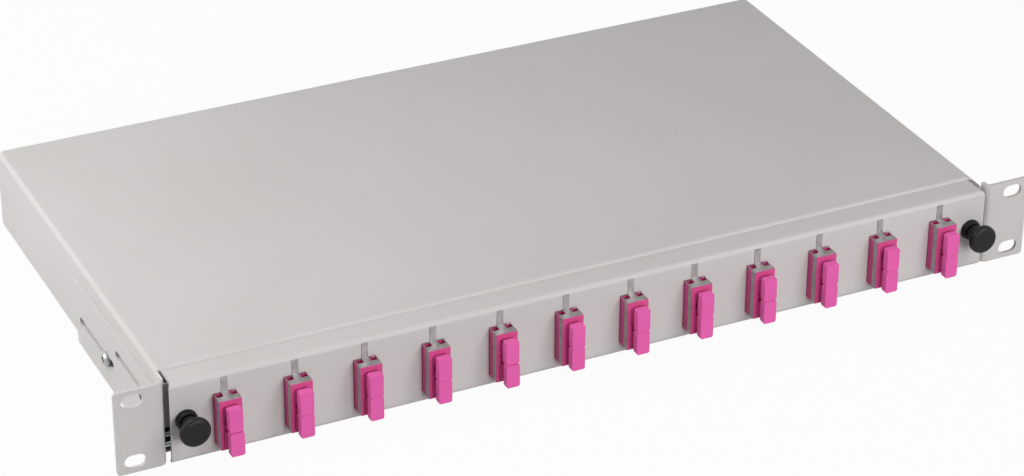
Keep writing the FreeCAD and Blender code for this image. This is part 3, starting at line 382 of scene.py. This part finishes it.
def pocket_outline(shape, height, middle):
    """Score the pocket right of the tongue on the faces at a height; gives the faces inside."""
    for across in POCKET_SIDES:
        score(shape, level_faces(shape, height, middle), (middle + across, 0, 0), (1, 0, 0))
    for depth in POCKET_ENDS:
        score(shape, level_faces(shape, height, middle), (0, depth, 0), (0, 1, 0))
    inside = []
    for face in level_faces(shape, height, middle):
        centre = face.calc_center_median()
        if (POCKET_SIDES[0] < centre.x - middle < POCKET_SIDES[1]
                and POCKET_ENDS[0] < centre.y < POCKET_ENDS[1]):
            inside.append(face)
    return inside


magenta_moulding, magenta_shader = finish("magenta_moulding", MAGENTA, roughness=0.4)
magenta_shader.inputs["Specular IOR Level"].default_value = 0.2
magenta_clouds = grain(magenta_moulding, scale=70, detail=2)
magenta_specks = grain(magenta_moulding, scale=800, detail=2)
magenta_skin = grain(magenta_moulding, scale=2200, detail=1)
tint(magenta_moulding, magenta_shader, magenta_clouds, dark=MAGENTA, pale=MAGENTA_PALE)
gloss(magenta_moulding, magenta_shader, magenta_specks, low=0.34, high=0.46)
relief(magenta_moulding, magenta_shader, magenta_skin, strength=0.08, height=0.00004)
ceramic, ceramic_shader = finish("sleeve_ceramic", CERAMIC, roughness=0.18)
tint(ceramic, ceramic_shader, grain(ceramic, scale=400, detail=2), dark=CERAMIC, pale=CERAMIC_PALE)
adapter_middles = [(number - (ADAPTER_COUNT - 1) / 2) * ADAPTER_PITCH
                   for number in range(ADAPTER_COUNT)]
for number, middle in enumerate(adapter_middles, 1):
    moulding = flattened(welded(f"adapter_{number:02d}"))
    sink(moulding, pocket_outline(moulding, CLIP_SEAT, middle), (0, 0, -POCKET_DEPTH))
    settle(shaped(moulding, f"adapter_body_{number:02d}", ADAPTER_EDGE), "drawer",
           "magenta_plastic", magenta_moulding, f"adapter_{number:02d}")
settle(softened("alignment_sleeves", "ceramic_sleeves", SLEEVE_EDGE), "drawer", "sleeve_ceramic",
       ceramic, "alignment_sleeves")

# Spring clips: thin stainless strip bent round each adapter, with a tongue that stands on the
# drawer front and a window at each side of it. The right-hand windows are cut here.
STAINLESS = (0.37, 0.35, 0.355)
STAINLESS_DARK = (0.3, 0.285, 0.29)
STAINLESS_PALE = (0.43, 0.41, 0.415)
CLIP_TOP = 0.0103
CLIP_EDGE = 0.00012
spring_steel, spring_shader = finish("spring_steel", STAINLESS, roughness=0.32, metallic=1.0)
spring_clouds = grain(spring_steel, scale=300, detail=3)
spring_streaks = grain(spring_steel, scale=1100, detail=2, stretch=(1, 1, 0.06))
tint(spring_steel, spring_shader, spring_clouds, dark=STAINLESS_DARK, pale=STAINLESS_PALE)
gloss(spring_steel, spring_shader, spring_streaks, low=0.34, high=0.48)
clips = welded("adapter_clips")
for middle in adapter_middles:
    for height in (CLIP_SEAT, CLIP_TOP):
        bmesh.ops.delete(clips, geom=pocket_outline(clips, height, middle), context="FACES")
clips = flattened(clips)
window_rims = [edge for edge in clips.edges if edge.is_boundary]
bmesh.ops.bridge_loops(clips, edges=window_rims, use_pairs=True)
bmesh.ops.recalc_face_normals(clips, faces=clips.faces)
settle(shaped(clips, "spring_clips", CLIP_EDGE), "drawer", "spring_steel", spring_steel,
       "adapter_clips")

# Dust caps: soft pink mouldings with a rounded slab to grip, a neck and a plug that sits in a
# port. Each adapter has two outside and two inside the drawer.
PINK = (0.8, 0.122, 0.42)
PINK_PALE = (0.84, 0.132, 0.445)
CAP_EDGE = 0.0003
INNER_CAP_EDGE = 0.0005
pink_moulding, pink_shader = finish("pink_moulding", PINK, roughness=0.45)
pink_shader.inputs["Specular IOR Level"].default_value = 0.2
pink_clouds = grain(pink_moulding, scale=90, detail=2)
pink_specks = grain(pink_moulding, scale=900, detail=2)
pink_skin = grain(pink_moulding, scale=2000, detail=1)
tint(pink_moulding, pink_shader, pink_clouds, dark=PINK, pale=PINK_PALE)
gloss(pink_moulding, pink_shader, pink_specks, low=0.4, high=0.55)
relief(pink_moulding, pink_shader, pink_skin, strength=0.08, height=0.00004)
for number in range(1, ADAPTER_COUNT + 1):
    settle(softened(f"dust_caps_{number:02d}", f"port_caps_{number:02d}", CAP_EDGE, segments=3),
           "drawer", "pink_cap", pink_moulding, f"dust_caps_{number:02d}")
settle(softened("rear_dust_caps", "inner_port_caps", INNER_CAP_EDGE), "drawer", "pink_cap",
       pink_moulding, "rear_dust_caps")

# Latches: a black nylon grommet in each end of the drawer front and a mushroom-headed nylon
# plunger in it, which is pulled to free the drawer.
KNOB_PLACES = {"left": (-0.208, -0.003, 0.0006), "right": (0.208, -0.003, 0.0006)}
KNOB_PROFILE = ((-0.014, 0), (-0.014, 0.0122), (-0.0127, 0.0148), (-0.0107, 0.0148),
                (-0.0094, 0.0122), (-0.0094, 0.0074), (-0.0033, 0.0074), (-0.0033, 0.0038),
                (0.0114, 0.0038), (0.0124, 0.0018), (0.0124, 0))
KNOB_EDGE = 0.0006
COLLAR_EDGE = 0.0004
for side, place in KNOB_PLACES.items():
    settle(softened(f"latch_grommet_{side}", f"latch_collar_{side}", COLLAR_EDGE), "drawer",
           "black_plastic", black_nylon, f"latch_grommet_{side}")
    knob = bmesh.new()
    turned(knob, KNOB_PROFILE, place, (0, 1, 0))
    settle(shaped(knob, f"latch_knob_{side}", KNOB_EDGE, segments=3), f"latch_{side}",
           "black_plastic", black_nylon, f"latch_plunger_{side}")

# Splice cassette and fibre guides: a dark grey moulded tray with winding drums, two splice
# combs and a smoke-clear lid, held to the drawer floor by two studs, and four moulded hoops
# beside it.
CASSETTE_GREY = (0.1, 0.102, 0.108)
CASSETTE_PALE = (0.124, 0.126, 0.133)
CASSETTE_EDGE = 0.0003
SMOKE = (0.86, 0.88, 0.89)
cassette_grey, cassette_shader = finish("cassette_grey", CASSETTE_GREY, roughness=0.5)
cassette_clouds = grain(cassette_grey, scale=40, detail=2)
cassette_specks = grain(cassette_grey, scale=700, detail=2)
cassette_skin = grain(cassette_grey, scale=1800, detail=1)
tint(cassette_grey, cassette_shader, cassette_clouds, dark=CASSETTE_GREY, pale=CASSETTE_PALE)
gloss(cassette_grey, cassette_shader, cassette_specks, low=0.42, high=0.6)
relief(cassette_grey, cassette_shader, cassette_skin, strength=0.12, height=0.00005)
smoke_clear, smoke_shader = finish("smoke_clear", SMOKE, roughness=0.04)
smoke_shader.inputs["Transmission Weight"].default_value = 1.0
smoke_shader.inputs["IOR"].default_value = 1.49
gloss(smoke_clear, smoke_shader, grain(smoke_clear, scale=120, detail=3), low=0.02, high=0.06)
for node, name, slot, material in (
        ("splice_cassette", "cassette_tray", "cassette_plastic", cassette_grey),
        ("cassette_studs", "cassette_pegs", "black_plastic", black_nylon),
        ("splice_holders", "splice_combs", "cassette_plastic", cassette_grey),
        ("cassette_lid", "cassette_cover", "clear_lid", smoke_clear),
        ("fibre_guides", "fibre_hoops", "cassette_plastic", cassette_grey)):
    settle(softened(node, name, CASSETTE_EDGE), "drawer", slot, material, node)

# Floor: a plain pale plane just under the hood's feet, which takes the panel's shadow and
# otherwise looks white to the camera.
FLOOR_GREY = (0.4, 0.4, 0.4)
FLOOR_REACH = 6
FLOOR_DROP = 0.0002
FLOOR_WHITE_SHARE = 0.96
WHITE = 1.0
plane = bmesh.new()
bmesh.ops.create_grid(plane, x_segments=1, y_segments=1, size=FLOOR_REACH)
floor_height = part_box("housing_hood")[0][2] - FLOOR_DROP
bmesh.ops.translate(plane, verts=plane.verts, vec=(0, 0, floor_height))
floor_mesh = bpy.data.meshes.new("floor")
plane.to_mesh(floor_mesh)
plane.free()
floor = bpy.data.objects.new("floor", floor_mesh)
bpy.context.scene.collection.objects.link(floor)


def in_sight(tree):
    """1 for what is seen straight, in a gloss or through the clear lid, and 0 for other light."""
    rays = tree.nodes.new("ShaderNodeLightPath")
    found = rays.outputs["Is Camera Ray"]
    for other in ("Is Glossy Ray", "Is Transmission Ray"):
        either = tree.nodes.new("ShaderNodeMath")
        either.operation = "MAXIMUM"
        tree.links.new(found, either.inputs[0])
        tree.links.new(rays.outputs[other], either.inputs[1])
        found = either.outputs["Value"]
    return found


pale_floor, floor_shader = finish("pale_floor", FLOOR_GREY, roughness=0.8)
nodes, links = pale_floor.node_tree.nodes, pale_floor.node_tree.links
white = nodes.new("ShaderNodeEmission")
white.inputs["Strength"].default_value = WHITE
share = nodes.new("ShaderNodeMath")
share.operation = "MULTIPLY"
share.inputs[1].default_value = FLOOR_WHITE_SHARE
links.new(in_sight(pale_floor.node_tree), share.inputs[0])
mix = nodes.new("ShaderNodeMixShader")
links.new(share.outputs["Value"], mix.inputs["Fac"])
links.new(floor_shader.outputs["BSDF"], mix.inputs[1])
links.new(white.outputs["Emission"], mix.inputs[2])
links.new(mix.outputs["Shader"], nodes["Material Output"].inputs["Surface"])
floor_mesh.materials.append(pale_floor)

# Surround: a studio that is white to the camera and in reflections, and gives the panel only
# a little light of its own.
AMBIENT = 0.05
world = bpy.data.worlds.new("studio")
bpy.context.scene.world = world
world.use_nodes = True
nodes, links = world.node_tree.nodes, world.node_tree.links
ambient = nodes["Background"]
ambient.inputs["Color"].default_value = (1, 1, 1, 1)
level = nodes.new("ShaderNodeMapRange")
level.inputs["To Min"].default_value = AMBIENT
level.inputs["To Max"].default_value = WHITE
links.new(in_sight(world.node_tree), level.inputs["Value"])
links.new(level.outputs["Result"], ambient.inputs["Strength"])


# Lamps: seven soft studio boxes. The large one in front lights the drawer's face, those at the
# left the top and the left side, and two weak ones the back and the right side.
def softbox(name, place, target, size, power):
    """Square area lamp that points at a target; metres and watts."""
    lamp = bpy.data.lights.new(name, "AREA")
    lamp.shape = "SQUARE"
    lamp.size = size
    lamp.energy = power
    holder = bpy.data.objects.new(name, lamp)
    holder.location = place
    aim = Vector(place) - Vector(target)
    holder.rotation_euler = aim.to_track_quat("Z", "Y").to_euler()
    bpy.context.scene.collection.objects.link(holder)


softbox("over_left", place=(-0.5, 0.2, 0.7), target=(-0.15, 0.1, 0), size=0.35, power=3.25)
softbox("left_side", place=(-0.85, 0.3, 0.25), target=(-0.2, 0.1, 0), size=0.4, power=2.9)
softbox("front", place=(0.05, -1.9, 0.6), target=(0, 0, 0), size=0.6, power=16.8)
softbox("front_right", place=(0.6, -1.1, 0.7), target=(0.05, 0, 0), size=0.5, power=3.5)
softbox("over_right", place=(0.45, -0.7, 0.9), target=(0.05, 0.05, 0), size=0.5, power=2.9)
softbox("rear", place=(-0.3, 1.3, 0.13), target=(0, 0.24, 0), size=0.25, power=2.0)
softbox("right_side", place=(0.95, 0.25, 0.12), target=(0.2, 0.12, 0), size=0.25, power=1.1)

# Camera: the photograph's view, from the left front and above, with a long lens. Its place
# and turn come from a fit of the case's edges and the rack slots.
IMAGE_WIDTH = 1024
FOCAL_PIXELS = 3222.09
SENSOR_WIDTH = 36
CAMERA_PLACE = (-0.60759, -1.16899, 0.78551)
CAMERA_HEADING = radians(-25.73266)
CAMERA_TILT = radians(90 - 29.41738)
CAMERA_ROLL = radians(0.3795)
camera_data = bpy.data.cameras.new("camera")
camera_data.sensor_width = SENSOR_WIDTH
camera_data.lens = FOCAL_PIXELS * SENSOR_WIDTH / IMAGE_WIDTH
camera = bpy.data.objects.new("camera", camera_data)
bpy.context.scene.collection.objects.link(camera)
heading = Matrix.Rotation(CAMERA_HEADING, 4, "Z")
tilt = Matrix.Rotation(CAMERA_TILT, 4, "X")
roll = Matrix.Rotation(CAMERA_ROLL, 4, "Z")
camera.matrix_world = Matrix.Translation(CAMERA_PLACE) @ heading @ tilt @ roll
bpy.context.scene.camera = camera
bpy.context.scene.view_settings.view_transform = "Standard"
